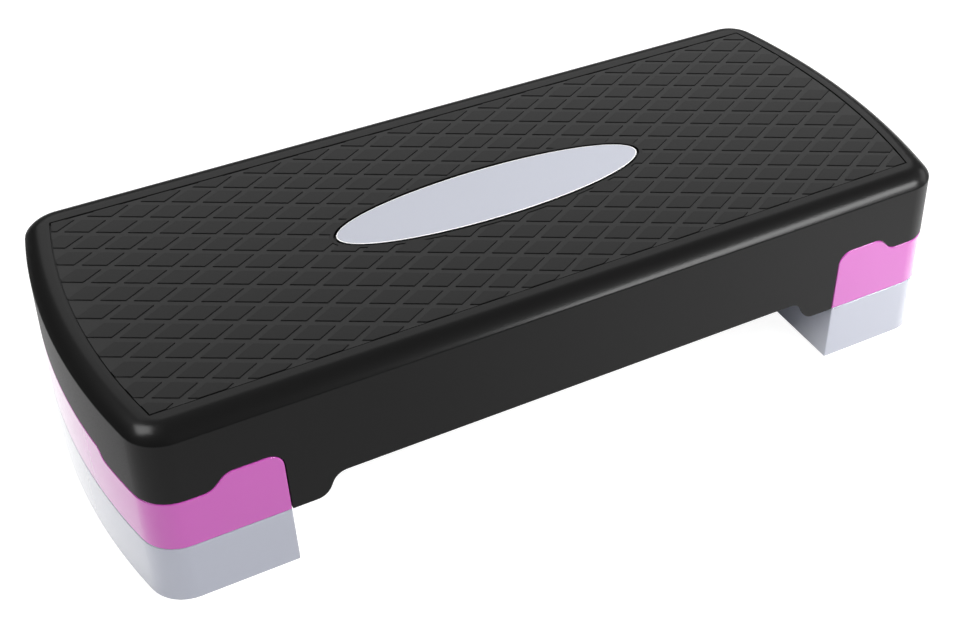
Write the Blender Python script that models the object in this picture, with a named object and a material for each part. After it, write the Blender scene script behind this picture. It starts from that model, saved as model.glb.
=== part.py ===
"""Two-height aerobic step: a moulded deck on two end blocks, each standing on a pull-off riser.

Metres, +Z up, origin on the floor under the middle of the step. +X runs along the length.
"""
import math

import bmesh
import bpy
from mathutils import Matrix, Vector

for leftover in list(bpy.data.objects):
    bpy.data.objects.remove(leftover, do_unlink=True)

# Overall sizes, over the widest places, which are at the floor
LENGTH = 0.688
WIDTH = 0.290
LOW_HEIGHT = 0.100            # deck on its blocks alone
RISER_HEIGHT = 0.050          # what a pair of risers adds
END_RADIUS = 0.515            # bow of the two ends in plan
CORNER_RADIUS = 0.0285        # plan corners, the same at every height
EDGE_RADIUS = 0.018           # rounding round the tread
SIDE_DRAFT = 0.030            # lean of the outer walls, metres per metre of height
FACE_DRAFT = 0.020            # lean of the flat inboard walls

# Walls
SKIRT_WALL = 0.003
TOP_WALL = 0.0038
RIB_WALL = 0.0022
CROSS_WALL = 0.003            # deck walls that close the legs off from the end blocks
PLATE_WALL = 0.003            # walls and top plates of blocks and risers

# Clearances
SEAM_GAP = 0.0003             # between faces that touch
NEST_CLEARANCE = 0.0006       # beside pieces that push into each other

# Lower edge of the skirt, seen from the front
ARCH_RISE = 0.020             # middle of the skirt above the leg bottoms
LEG_WIDTH = 0.030             # leg, from the block to the middle of its curve
ARCH_RADIUS = 0.012
ARCH_ANGLE = math.radians(65)

# Coloured tabs of the blocks, which fill the cut-outs of the skirt
TAB_HEIGHT = 0.053            # above the bottom of the block
TAB_LENGTH = 0.0465           # front and back tabs, along X
END_TAB_WIDTH = 0.143         # tab in the middle of each end, along Y
TAB_DROP = 0.012              # from a tab's top to the edge at the corners
TAB_CORNER_RADIUS = 0.0115
TAB_SWEEP_RADIUS = 0.012
TAB_SWEEP_ANGLE = math.radians(45)

# Blocks and risers
BLOCK_LENGTH = 0.1154         # from the inboard face to the bowed end
BLOCK_RISE = 0.062            # top plate above the bottom of the block
SPIGOT_HEIGHT = 0.010         # upstand of a riser inside its block
SPIGOT_WALL = 0.0025
CELL_ROWS = 6                 # cells across the width, between ribs
RIB_DEPTH = 0.014             # below the top plate
DECK_CELL_ROWS = 4            # cells across the deck
DECK_CELL_COLUMNS = 8         # cells along the deck, between its cross walls
DECK_RIB_DEPTH = 0.016        # below the tread, between the cross walls

# Rubber feet and the hollow columns that hold them
FOOT_RADIUS = 0.010
FOOT_THICKNESS = 0.004
FOOT_PROUD = 0.001
FOOT_EDGE = 0.0008            # bevel round the tread of a foot
FOOT_END_MARGIN = 0.034       # foot centre from the inboard face and from the bowed end
FOOT_SIDE_MARGIN = 0.045      # foot centre from the long side
STEM_RADIUS = 0.003
BARB_RADIUS = 0.0042
BARB_HEIGHT = 0.0035
COLUMN_WALL = 0.003
WEB_WALL = 0.003              # floor of a column, which the stem goes through

# Tread
TREAD_SIDE_MARGIN = 0.0231    # border line from the long edge
TREAD_END_MARGIN = 0.0190     # border line from the bowed edge
BORDER_WIDTH = 0.0010
BORDER_DEPTH = 0.0006
TREAD_RELIEF = 0.0008         # height of the grip tiles
TILE_PITCH_X = 0.0406
TILE_PITCH_Y = 0.0226
TILE_GROOVE = 0.0046          # between neighbouring tiles, square to their sides
TILE_MARGIN = 0.0045          # plain strip inside the border line
TILE_DRAFT = 0.0004           # how far a tile's top stands back from its foot
SMALLEST_TILE = 0.12          # share of a whole tile that is still worth moulding

# Badge, a plain oval plate in an oval boss
BADGE_LENGTH = 0.2555
BADGE_WIDTH = 0.0630
BADGE_THICKNESS = 0.0018
BADGE_EDGE = 0.0004
BOSS_WIDTH = 0.0070
BOSS_GROOVE = 0.0030

# Smoothness
END_STEPS = 5                 # per half end
CORNER_STEPS = 5
EDGE_STEPS = 5
SWEEP_STEPS = 4
OVAL_STEPS = 40
ROUND_STEPS = 16
FOOT_STEPS = 12

HEIGHT = RISER_HEIGHT + LOW_HEIGHT
GROUND = HEIGHT - TREAD_RELIEF                     # between the tiles
BLOCK_TOP = RISER_HEIGHT + BLOCK_RISE
RIB_BOTTOM = BLOCK_TOP + SEAM_GAP                  # the deck's ribs stand on the blocks
TAB_TOP = RISER_HEIGHT + TAB_HEIGHT
LOBE_TOP = TAB_TOP - TAB_DROP
POCKET_RADIUS = FOOT_RADIUS + SEAM_GAP
COLUMN_RADIUS = POCKET_RADIUS + COLUMN_WALL
OVERSHOOT = 0.010                                  # how far cutters run past what they cut


# Plan outlines

def face_x(z):
    """Inboard face of the right-hand block or riser at a height."""
    return LENGTH / 2 - BLOCK_LENGTH + FACE_DRAFT * z


def end_half(inset, corner):
    """Right-hand end from y below to y above, as points that start and stop on the long sides."""
    side = WIDTH / 2 - inset
    centre = LENGTH / 2 - END_RADIUS
    bow = END_RADIUS - inset
    fillet_y = side - corner
    fillet_x = centre + math.sqrt((bow - corner) ** 2 - fillet_y ** 2)
    meet = math.atan2(fillet_y, fillet_x - centre)
    upper = []
    for step in range(END_STEPS + 1):
        turn = meet * step / END_STEPS
        upper.append((centre + bow * math.cos(turn), bow * math.sin(turn)))
    for step in range(1, CORNER_STEPS + 1):
        turn = meet + (math.pi / 2 - meet) * step / CORNER_STEPS
        upper.append((fillet_x + corner * math.cos(turn), fillet_y + corner * math.sin(turn)))
    lower = [(x, -y) for x, y in reversed(upper[1:])]
    return lower + upper


def deck_ring(z, inset):
    """Whole plan outline at a height, anticlockwise, taken in by inset from the outer wall."""
    right = end_half(SIDE_DRAFT * z + inset, CORNER_RADIUS - inset)
    return right + [(-x, -y) for x, y in right]


def block_ring(inset, face_inset, z):
    """Outline of a right-hand block or riser: the end of the plan, closed by a flat face."""
    side_inset = inset + SIDE_DRAFT * z
    side = WIDTH / 2 - side_inset
    face = face_x(z) + face_inset
    return [(face, -side)] + end_half(side_inset, CORNER_RADIUS - inset) + [(face, side)]


def oval(half_length, half_width):
    points = []
    for step in range(OVAL_STEPS):
        turn = 2 * math.pi * step / OVAL_STEPS
        points.append((half_length * math.cos(turn), half_width * math.sin(turn)))
    return points


def tread_outline(inset):
    """Border line of the tread: straight sides, bowed ends, sharp corners."""
    side = WIDTH / 2 - SIDE_DRAFT * HEIGHT - TREAD_SIDE_MARGIN - inset
    centre = LENGTH / 2 - END_RADIUS
    bow = END_RADIUS - SIDE_DRAFT * HEIGHT - TREAD_END_MARGIN - inset
    meet = math.asin(side / bow)
    right = []
    for step in range(-END_STEPS, END_STEPS + 1):
        turn = meet * step / END_STEPS
        right.append((centre + bow * math.cos(turn), bow * math.sin(turn)))
    return right + [(-x, -y) for x, y in right]


# Curves of the lower edges

def sweep(start, rise, run_sign, radius, angle):
    """S-curve that leaves level, climbs by rise and ends level. Returns points after start."""
    radius = min(radius, abs(rise) / (2 * (1 - math.cos(angle))))
    climb = math.copysign(1, rise)
    straight = (abs(rise) - 2 * radius * (1 - math.cos(angle))) / math.sin(angle)
    x, z = start
    points = []
    for step in range(1, SWEEP_STEPS + 1):
        turn = angle * step / SWEEP_STEPS
        points.append((x + run_sign * radius * math.sin(turn),
                       z + climb * radius * (1 - math.cos(turn))))
    far_x = x + run_sign * (2 * radius * math.sin(angle) + straight * math.cos(angle))
    far_z = z + rise
    for step in range(SWEEP_STEPS + 1):
        turn = angle * (1 - step / SWEEP_STEPS)
        points.append((far_x - run_sign * radius * math.sin(turn),
                       far_z - climb * radius * (1 - math.cos(turn))))
    return points


def sweep_run(rise, radius, angle):
    """Length that a sweep covers along the edge."""
    radius = min(radius, abs(rise) / (2 * (1 - math.cos(angle))))
    straight = (abs(rise) - 2 * radius * (1 - math.cos(angle))) / math.sin(angle)
    return 2 * radius * math.sin(angle) + straight * math.cos(angle)


def offset_path(points, distance):
    """Open path moved to its left by a distance, keeping corners mitred."""
    moved = []
    for index, point in enumerate(points):
        before = Vector(point) - Vector(points[max(index - 1, 0)])
        after = Vector(points[min(index + 1, len(points) - 1)]) - Vector(point)
        before = before.normalized() if before.length > 0 else after.normalized()
        after = after.normalized() if after.length > 0 else before
        normal = Vector((-before.y - after.y, before.x + after.x)).normalized()
        stretch = distance / max(normal.dot(Vector((-after.y, after.x))), 0.5)
        moved.append((point[0] + normal.x * stretch, point[1] + normal.y * stretch))
    return moved


def front_tab_path():
    """Upper edge of a right-hand block seen from the front, from its inboard face outwards."""
    corner_z = TAB_TOP - TAB_CORNER_RADIUS
    face = face_x(corner_z)
    path = [(face, corner_z)]
    for step in range(1, SWEEP_STEPS + 1):
        turn = math.pi / 2 * step / SWEEP_STEPS
        path.append((face + TAB_CORNER_RADIUS * (1 - math.cos(turn)),
                     corner_z + TAB_CORNER_RADIUS * math.sin(turn)))
    run = sweep_run(TAB_DROP, TAB_SWEEP_RADIUS, TAB_SWEEP_ANGLE)
    start = (face_x(RISER_HEIGHT) + TAB_LENGTH - run / 2, TAB_TOP)
    path.append(start)
    path += sweep(start, -TAB_DROP, 1, TAB_SWEEP_RADIUS, TAB_SWEEP_ANGLE)
    path.append((LENGTH / 2 + OVERSHOOT, LOBE_TOP))
    return path


def end_tab_path():
    """Upper edge of the tab in the middle of an end, seen from that end."""
    run = sweep_run(TAB_DROP, TAB_SWEEP_RADIUS, TAB_SWEEP_ANGLE)
    left = (-END_TAB_WIDTH / 2 - run / 2, LOBE_TOP)
    right = (END_TAB_WIDTH / 2 - run / 2, TAB_TOP)
    path = [left] + sweep(left, TAB_DROP, 1, TAB_SWEEP_RADIUS, TAB_SWEEP_ANGLE)
    return path + [right] + sweep(right, -TAB_DROP, 1, TAB_SWEEP_RADIUS, TAB_SWEEP_ANGLE)


# Meshes

def finish(name, mesh_data):
    """Object from a bmesh, with its faces pointing out."""
    bmesh.ops.recalc_face_normals(mesh_data, faces=mesh_data.faces)
    mesh = bpy.data.meshes.new(name)
    mesh_data.to_mesh(mesh)
    mesh_data.free()
    thing = bpy.data.objects.new(name, mesh)
    bpy.context.scene.collection.objects.link(thing)
    return thing


def add_loft(mesh_data, rings):
    """Closed solid through rings of equally many points, each a list of (x, y, z)."""
    loops = [[mesh_data.verts.new(point) for point in ring] for ring in rings]
    for low, high in zip(loops, loops[1:]):
        count = len(low)
        for index in range(count):
            follow = (index + 1) % count
            mesh_data.faces.new((low[index], low[follow], high[follow], high[index]))
    mesh_data.faces.new(list(reversed(loops[0])))
    mesh_data.faces.new(loops[-1])


def loft(name, rings):
    mesh_data = bmesh.new()
    add_loft(mesh_data, rings)
    return finish(name, mesh_data)


def level(points, z):
    return [(x, y, z) for x, y in points]


def prism(name, points, low, high):
    """Upright solid over a plan outline."""
    return loft(name, [level(points, low), level(points, high)])


def prism_across(name, profile, half_depth):
    """Solid along Y from a front outline of (x, z) points."""
    return loft(name, [[(x, -half_depth, z) for x, z in profile],
                       [(x, half_depth, z) for x, z in profile]])


def prism_along(name, profile, low, high):
    """Solid along X from an end outline of (y, z) points."""
    return loft(name, [[(low, y, z) for y, z in profile],
                       [(high, y, z) for y, z in profile]])


def boxes(name, corners):
    """Separate boxes in one mesh, each from (low corner, high corner)."""
    mesh_data = bmesh.new()
    for low, high in corners:
        plan = [(low[0], low[1]), (high[0], low[1]), (high[0], high[1]), (low[0], high[1])]
        add_loft(mesh_data, [level(plan, low[2]), level(plan, high[2])])
    return finish(name, mesh_data)


def rounds(name, centres, radius, low, high):
    """Separate upright cylinders in one mesh."""
    mesh_data = bmesh.new()
    for x, y in centres:
        plan = []
        for step in range(ROUND_STEPS):
            turn = 2 * math.pi * step / ROUND_STEPS
            plan.append((x + radius * math.cos(turn), y + radius * math.sin(turn)))
        add_loft(mesh_data, [level(plan, low), level(plan, high)])
    return finish(name, mesh_data)


def combine(target, tool, operation):
    """Boolean of target with tool, kept in target's mesh. The tool is used up."""
    modifier = target.modifiers.new("combine", "BOOLEAN")
    modifier.solver = "EXACT"
    modifier.operation = operation
    modifier.object = tool
    depsgraph = bpy.context.evaluated_depsgraph_get()
    result = bpy.data.meshes.new_from_object(target.evaluated_get(depsgraph))
    target.modifiers.clear()
    used = target.data
    target.data = result
    bpy.data.meshes.remove(used)
    bpy.data.objects.remove(tool, do_unlink=True)
    return target


def cut(target, tool):
    return combine(target, tool, "DIFFERENCE")


def fuse(target, tool):
    return combine(target, tool, "UNION")


def plastic(name, colour, roughness):
    """Principled material with an even colour."""
    material = bpy.data.materials.new(name)
    material.use_nodes = True
    shader = material.node_tree.nodes["Principled BSDF"]
    shader.inputs["Base Color"].default_value = (*colour, 1.0)
    shader.inputs["Roughness"].default_value = roughness
    shader.inputs["Metallic"].default_value = 0.0
    return material


def dress(thing, material):
    thing.data.materials.clear()
    thing.data.materials.append(material)
    thing.data.shade_smooth()
    thing.data.set_sharp_from_angle(angle=math.radians(30))


# Deck

def end_tab(side, gap):
    """Solid through the skirt under the tab in the middle of an end, grown by a gap."""
    path = offset_path(end_tab_path(), gap)
    lowest = RISER_HEIGHT - OVERSHOOT
    path = [(path[0][0], lowest)] + path + [(path[-1][0], lowest)]
    inner = LENGTH / 2 - BLOCK_LENGTH / 3
    outer = LENGTH / 2 + OVERSHOOT
    return prism_along("end_tab", path, *sorted((side * inner, side * outer)))


def deck_body(name, wall, top):
    """Deck's outer form, taken in by wall at the sides and by top from above."""
    lowest = RISER_HEIGHT - (OVERSHOOT if wall > 0 else 0)
    rounding = EDGE_RADIUS - wall
    spring = GROUND - top - rounding
    rings = [level(deck_ring(lowest, wall), lowest)]
    for step in range(EDGE_STEPS + 1):
        turn = math.pi / 2 * step / EDGE_STEPS
        inset = wall + rounding * (1 - math.cos(turn))
        rings.append(level(deck_ring(spring, inset), spring + rounding * math.sin(turn)))
    return loft(name, rings)


def spread(low, high, count):
    """Centres of the ribs that split a span into count cells."""
    return [low + (high - low) * step / count for step in range(1, count)]


def deck_hollow():
    """Space under the tread, with the ribs and the two cross walls left standing in it."""
    hollow = deck_body("deck_hollow", SKIRT_WALL, TOP_WALL)
    lowest = RISER_HEIGHT - 2 * OVERSHOOT
    wall_out = face_x(RIB_BOTTOM) - NEST_CLEARANCE
    wall_in = wall_out - CROSS_WALL
    wall_foot = face_x(lowest) - NEST_CLEARANCE
    for side in (-1, 1):
        profile = [(wall_foot, lowest), (wall_out, RIB_BOTTOM), (wall_out, HEIGHT),
                   (wall_in, HEIGHT), (wall_in, RIB_BOTTOM), (wall_foot - CROSS_WALL, lowest)]
        cut(hollow, prism_across("cross_wall", [(side * x, z) for x, z in profile], WIDTH))
    half = RIB_WALL / 2
    shallow = GROUND - TOP_WALL - DECK_RIB_DEPTH
    across = [(x, shallow) for x in spread(-wall_in, wall_in, DECK_CELL_COLUMNS)]
    across += [(side * (wall_out + LENGTH / 2) / 2, RIB_BOTTOM) for side in (-1, 1)]
    cut(hollow, boxes("deck_ribs_across", [((x - half, -WIDTH, rib_bottom), (x + half, WIDTH, HEIGHT))
                                           for x, rib_bottom in across]))
    # Between the cross walls the ribs are shallow; over the blocks they stand on them
    turn_x = (wall_in + wall_out) / 2
    stretches = [(-LENGTH, -turn_x, RIB_BOTTOM), (-turn_x, turn_x, shallow), (turn_x, LENGTH, RIB_BOTTOM)]
    for low, high, rib_bottom in stretches:
        along = spread(-WIDTH / 2, WIDTH / 2, DECK_CELL_ROWS)
        cut(hollow, boxes("deck_ribs_along", [((low, y - half, rib_bottom), (high, y + half, HEIGHT))
                                              for y in along]))
    return hollow


def skirt_arch():
    """Opening under the middle of the skirt, between the legs."""
    run = sweep_run(ARCH_RISE, ARCH_RADIUS, ARCH_ANGLE)
    foot = face_x(RISER_HEIGHT) - NEST_CLEARANCE - LEG_WIDTH + run / 2
    lowest = RISER_HEIGHT - OVERSHOOT
    right = [(foot, lowest), (foot, RISER_HEIGHT)]
    right += sweep(right[-1], ARCH_RISE, -1, ARCH_RADIUS, ARCH_ANGLE)
    return prism_across("skirt_arch", right + [(-x, z) for x, z in reversed(right)], WIDTH)


def front_notch(side):
    """Cut-out of the skirt, front and back, from a leg round to the lobe at the corner."""
    lowest = RISER_HEIGHT - OVERSHOOT
    path = offset_path([(face_x(lowest), lowest)] + front_tab_path(), SEAM_GAP)
    path.append((path[-1][0], lowest))
    return prism_across("front_notch", [(side * x, z) for x, z in path], WIDTH)


def clipped(polygon, outline):
    """Convex polygon cut back to the inside of a convex anticlockwise outline."""
    for index, start in enumerate(outline):
        stop = outline[(index + 1) % len(outline)]
        edge = (stop[0] - start[0], stop[1] - start[1])

        def side_of(point):
            return edge[0] * (point[1] - start[1]) - edge[1] * (point[0] - start[0])

        result = []
        for here, there in zip(polygon, polygon[1:] + polygon[:1]):
            here_side = side_of(here)
            there_side = side_of(there)
            if here_side >= 0:
                result.append(here)
            if here_side * there_side < 0:
                share = here_side / (here_side - there_side)
                result.append((here[0] + share * (there[0] - here[0]),
                               here[1] + share * (there[1] - here[1])))
        polygon = result
        if len(polygon) < 3:
            return []
    return polygon


def area(polygon):
    total = 0.0
    for here, there in zip(polygon, polygon[1:] + polygon[:1]):
        total += here[0] * there[1] - there[0] * here[1]
    return total / 2


def shrunk(polygon, distance):
    """Convex polygon with every side moved in by a distance."""
    moved = []
    count = len(polygon)
    for index in range(count):
        before = Vector(polygon[index]) - Vector(polygon[index - 1])
        after = Vector(polygon[(index + 1) % count]) - Vector(polygon[index])
        normal_a = Vector((-before.y, before.x)).normalized()
        normal_b = Vector((-after.y, after.x)).normalized()
        mitre = (normal_a + normal_b).normalized()
        reach = distance / max(mitre.dot(normal_a), 0.3)
        moved.append((polygon[index][0] + mitre.x * reach, polygon[index][1] + mitre.y * reach))
    return moved


def rhombus():
    """Plan of a whole grip tile round its own centre."""
    half_x = TILE_PITCH_X / 2
    half_y = TILE_PITCH_Y / 2
    side = math.hypot(half_x, half_y)
    take = TILE_GROOVE / 2 * side
    return [(half_x - take / half_y, 0), (0, half_y - take / half_x),
            (-half_x + take / half_y, 0), (0, -half_y + take / half_x)]


def tile_centres():
    """Centres of a staggered grid over the tread, its middle on the middle of the badge."""
    columns = math.ceil(LENGTH / TILE_PITCH_X)
    rows = math.ceil(WIDTH / 2 / TILE_PITCH_Y)
    for column in range(-columns, columns + 1):
        for row in range(-rows, rows + 1):
            stagger = 0.5 if column % 2 == 0 else 0.0
            yield column * TILE_PITCH_X / 2, (row + stagger) * TILE_PITCH_Y


def grip_tiles():
    """Raised rhombic tiles over the whole tread, cut off inside its border line and round the boss."""
    limit = tread_outline(BORDER_WIDTH + TILE_MARGIN)
    whole = rhombus()
    sunk = GROUND - TOP_WALL / 4
    mesh_data = bmesh.new()
    for x, y in tile_centres():
        plan = clipped([(x + dx, y + dy) for dx, dy in whole], limit)
        if len(plan) < 3 or area(plan) < SMALLEST_TILE * area(whole):
            continue
        add_loft(mesh_data, [level(plan, sunk), level(plan, GROUND),
                             level(shrunk(plan, TILE_DRAFT), HEIGHT)])
    tiles = finish("grip_tiles", mesh_data)
    clear = oval(BADGE_LENGTH / 2 + BOSS_WIDTH + BOSS_GROOVE, BADGE_WIDTH / 2 + BOSS_WIDTH + BOSS_GROOVE)
    return cut(tiles, prism("boss_clearance", clear, GROUND - TOP_WALL, HEIGHT + OVERSHOOT))


def border_groove():
    """Fine line round the tread."""
    groove = prism("border_groove", tread_outline(0), GROUND - BORDER_DEPTH, HEIGHT)
    return cut(groove, prism("border_inside", tread_outline(BORDER_WIDTH), GROUND - TOP_WALL,
                             HEIGHT + OVERSHOOT))


def make_deck(material):
    deck = deck_body("deck", 0, 0)
    cut(deck, deck_hollow())
    cut(deck, skirt_arch())
    for side in (-1, 1):
        cut(deck, front_notch(side))
        cut(deck, end_tab(side, SEAM_GAP))
    cut(deck, border_groove())
    boss = oval(BADGE_LENGTH / 2 + BOSS_WIDTH, BADGE_WIDTH / 2 + BOSS_WIDTH)
    fuse(deck, prism("badge_boss", boss, GROUND - TOP_WALL / 4, HEIGHT))
    fuse(deck, grip_tiles())
    seat = oval(BADGE_LENGTH / 2 + SEAM_GAP, BADGE_WIDTH / 2 + SEAM_GAP)
    cut(deck, prism("badge_seat", seat, HEIGHT - BADGE_THICKNESS - SEAM_GAP, HEIGHT + OVERSHOOT))
    dress(deck, material)
    return deck


def make_badge(material):
    half_length = BADGE_LENGTH / 2
    half_width = BADGE_WIDTH / 2
    underside = HEIGHT - BADGE_THICKNESS
    badge = loft("badge_plate", [
        level(oval(half_length, half_width), underside),
        level(oval(half_length, half_width), HEIGHT - BADGE_EDGE),
        level(oval(half_length - BADGE_EDGE, half_width - BADGE_EDGE), HEIGHT)])
    dress(badge, material)
    return badge


# Blocks and risers, modelled as the right-hand ones

def foot_centres():
    inner = face_x(0) + FOOT_END_MARGIN
    outer = LENGTH / 2 - FOOT_END_MARGIN
    side = WIDTH / 2 - FOOT_SIDE_MARGIN
    return [(inner, -side), (outer, -side), (outer, side), (inner, side)]


def block_loft(name, stages):
    """Solid through block outlines, each stage (z, inset from the sides, inset from the face)."""
    return loft(name, [level(block_ring(inset, face_inset, z), z) for z, inset, face_inset in stages])


def leave_ribs_and_columns(hollow, bottom, top):
    """Takes ribs and foot columns out of a hollow, so that they stand when it is cut."""
    half = RIB_WALL / 2
    rib_bottom = top - PLATE_WALL - RIB_DEPTH
    middle = (face_x(0) + LENGTH / 2) / 2
    cut(hollow, boxes("rib_across", [((middle - half, -WIDTH, rib_bottom), (middle + half, WIDTH, top))]))
    # The outermost ribs run through the columns
    foot_side = WIDTH / 2 - FOOT_SIDE_MARGIN
    rows = [-foot_side] + spread(-foot_side, foot_side, CELL_ROWS - 2) + [foot_side]
    cut(hollow, boxes("ribs_along", [((0, y - half, rib_bottom), (LENGTH, y + half, top)) for y in rows]))
    cut(hollow, rounds("columns", foot_centres(), COLUMN_RADIUS, bottom - 2 * OVERSHOOT, top))


def bore_columns(body, bottom, top):
    """Foot pockets below, stem holes through the webs, and open column tops."""
    pocket_top = bottom + FOOT_THICKNESS - FOOT_PROUD + SEAM_GAP
    web_top = pocket_top + WEB_WALL
    cut(body, rounds("pockets", foot_centres(), POCKET_RADIUS, bottom - OVERSHOOT, pocket_top))
    cut(body, rounds("column_bores", foot_centres(), POCKET_RADIUS, web_top, top + OVERSHOOT))
    cut(body, rounds("stem_holes", foot_centres(), STEM_RADIUS + SEAM_GAP, bottom, web_top + OVERSHOOT))


def settle(thing, origin, name, material):
    """Names a finished piece and puts its origin on the line that it slides along."""
    thing.data.transform(Matrix.Translation(-Vector(origin)))
    thing.location = origin
    thing.name = name
    thing.data.name = name
    dress(thing, material)
    return thing


def make_block():
    """Coloured block: tabs outside, and a core that pushes up inside the deck's skirt."""
    nest = SKIRT_WALL + NEST_CLEARANCE
    block = block_loft("block", [(RISER_HEIGHT, 0, 0), (BLOCK_TOP, 0, 0)])
    above = BLOCK_TOP + OVERSHOOT
    path = front_tab_path()
    inboard = path[0][0] - OVERSHOOT
    path = [(inboard, path[0][1])] + path + [(path[-1][0], above), (inboard, above)]
    skirt_space = prism_across("skirt_space", path, WIDTH)
    cut(skirt_space, end_tab(1, 0))
    cut(skirt_space, block_loft("core", [(RISER_HEIGHT, nest, -2 * OVERSHOOT),
                                         (above + OVERSHOOT, nest, -2 * OVERSHOOT)]))
    cut(block, skirt_space)
    ledge = LOBE_TOP - PLATE_WALL
    hollow = block_loft("block_hollow", [
        (RISER_HEIGHT - OVERSHOOT, PLATE_WALL, PLATE_WALL),
        (ledge, PLATE_WALL, PLATE_WALL),
        (ledge, nest + PLATE_WALL, PLATE_WALL + NEST_CLEARANCE),
        (BLOCK_TOP - PLATE_WALL, nest + PLATE_WALL, PLATE_WALL + NEST_CLEARANCE)])
    leave_ribs_and_columns(hollow, RISER_HEIGHT, BLOCK_TOP)
    cut(block, hollow)
    bore_columns(block, RISER_HEIGHT, BLOCK_TOP)
    return block


def make_riser():
    """Riser: an open-bottomed box with a spigot that pushes up into the block."""
    rim = FOOT_PROUD
    top = RISER_HEIGHT - SEAM_GAP
    riser = block_loft("riser", [(rim, 0, 0), (top, 0, 0)])
    inset = PLATE_WALL + NEST_CLEARANCE
    spigot_top = RISER_HEIGHT + SPIGOT_HEIGHT
    spigot = block_loft("spigot", [(top - PLATE_WALL / 2, inset, inset), (spigot_top, inset, inset)])
    inner = inset + SPIGOT_WALL
    cut(spigot, block_loft("spigot_inside", [(top - OVERSHOOT, inner, inner),
                                             (spigot_top + OVERSHOOT, inner, inner)]))
    fuse(riser, spigot)
    hollow = block_loft("riser_hollow", [
        (rim - OVERSHOOT, PLATE_WALL, PLATE_WALL), (top - PLATE_WALL, PLATE_WALL, PLATE_WALL)])
    leave_ribs_and_columns(hollow, rim, top)
    cut(riser, hollow)
    bore_columns(riser, rim, top)
    return riser


def make_foot():
    """Rubber foot: a disc in the pocket, and a barbed stem through the web. Origin at its tread."""
    barb_bottom = FOOT_THICKNESS + WEB_WALL + 2 * SEAM_GAP
    profile = [
        (FOOT_RADIUS - FOOT_EDGE, 0), (FOOT_RADIUS, FOOT_EDGE), (FOOT_RADIUS, FOOT_THICKNESS),
        (STEM_RADIUS, FOOT_THICKNESS), (STEM_RADIUS, barb_bottom), (BARB_RADIUS, barb_bottom),
        (STEM_RADIUS / 2, barb_bottom + BARB_HEIGHT)]
    rings = []
    for radius, z in profile:
        ring = []
        for step in range(FOOT_STEPS):
            turn = 2 * math.pi * step / FOOT_STEPS
            ring.append((radius * math.cos(turn), radius * math.sin(turn), z))
        rings.append(ring)
    return loft("foot", rings)


def copy_of(thing, name):
    """Second object on the same mesh."""
    twin = bpy.data.objects.new(name, thing.data)
    bpy.context.scene.collection.objects.link(twin)
    return twin


def fit_end_pieces(kind, bottom, model, model_foot, material):
    """Right and left copy of a block or riser on its slide line, each with its four feet."""
    middle = (face_x(0) + LENGTH / 2) / 2
    right = settle(model, (middle, 0, bottom), "right_" + kind, material)
    left = copy_of(right, "left_" + kind)
    left.location = (-middle, 0, bottom)
    left.rotation_euler = (0, 0, math.pi)
    for body in (right, left):
        side_name = body.name.split("_")[0]
        for number, (x, y) in enumerate(foot_centres(), 1):
            foot = copy_of(model_foot, f"{side_name}_{kind}_foot_{number}")
            foot.parent = body
            foot.location = (x - middle, y, -FOOT_PROUD)


def make_step():
    black = plastic("black_polypropylene", (0.030, 0.030, 0.031), 0.42)
    pink = plastic("pink_polypropylene", (0.66, 0.20, 0.56), 0.38)
    grey = plastic("grey_polypropylene", (0.50, 0.52, 0.61), 0.42)
    pale = plastic("pale_badge_plastic", (0.62, 0.64, 0.74), 0.35)
    rubber = plastic("black_rubber", (0.020, 0.020, 0.020), 0.80)

    make_deck(black)
    make_badge(pale)
    foot = make_foot()
    dress(foot, rubber)
    fit_end_pieces("block", RISER_HEIGHT, make_block(), foot, pink)
    fit_end_pieces("riser", FOOT_PROUD, make_riser(), foot, grey)
    bpy.data.objects.remove(foot, do_unlink=True)


make_step()
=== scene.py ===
import math

import bmesh
import bpy
from mathutils import Matrix, Vector


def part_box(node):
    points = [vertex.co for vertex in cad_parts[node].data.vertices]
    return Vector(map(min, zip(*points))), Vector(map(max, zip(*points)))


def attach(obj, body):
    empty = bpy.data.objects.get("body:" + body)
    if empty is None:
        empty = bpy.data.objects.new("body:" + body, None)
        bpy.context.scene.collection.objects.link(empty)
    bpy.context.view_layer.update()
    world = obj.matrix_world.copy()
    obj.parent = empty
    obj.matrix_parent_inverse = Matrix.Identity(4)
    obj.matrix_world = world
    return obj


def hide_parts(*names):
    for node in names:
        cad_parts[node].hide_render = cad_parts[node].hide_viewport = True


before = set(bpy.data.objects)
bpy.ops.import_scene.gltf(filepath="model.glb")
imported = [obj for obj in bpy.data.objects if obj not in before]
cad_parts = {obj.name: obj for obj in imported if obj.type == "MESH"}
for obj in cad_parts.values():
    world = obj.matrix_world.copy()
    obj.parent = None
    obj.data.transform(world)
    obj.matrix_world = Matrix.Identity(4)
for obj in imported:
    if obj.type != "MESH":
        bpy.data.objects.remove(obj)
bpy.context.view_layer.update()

# sizes in metres, shared by every piece that follows the step's outline
plan = {
    "length": 0.688,          # at the floor, like the width and the radii
    "width": 0.290,
    "endRadius": 0.515,       # bow of both ends
    "cornerRadius": 0.0285,
    "sideDraft": 0.030,       # lean of the outer walls, metres per metre of height
    "faceDraft": 0.020,       # lean of the flat inboard walls
    "faceX": 0.2286,          # inboard face of blocks and risers, at the floor
    "riserTop": 0.050,        # where riser and block meet
    "blockTop": 0.112,
    "top": 0.150,             # tile tops, ring and badge
    "gap": 0.0003,            # between pieces that rest on each other
    "nest": 0.0006,           # round a piece that slides into another
    "past": 0.010,            # how far a cutter reaches past what it cuts
    "farX": 0.5,              # outside the whole step, for cutters that run right through
    "farY": 0.3,
    "cornerSteps": 8,
    "endSteps": 26,
}

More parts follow.
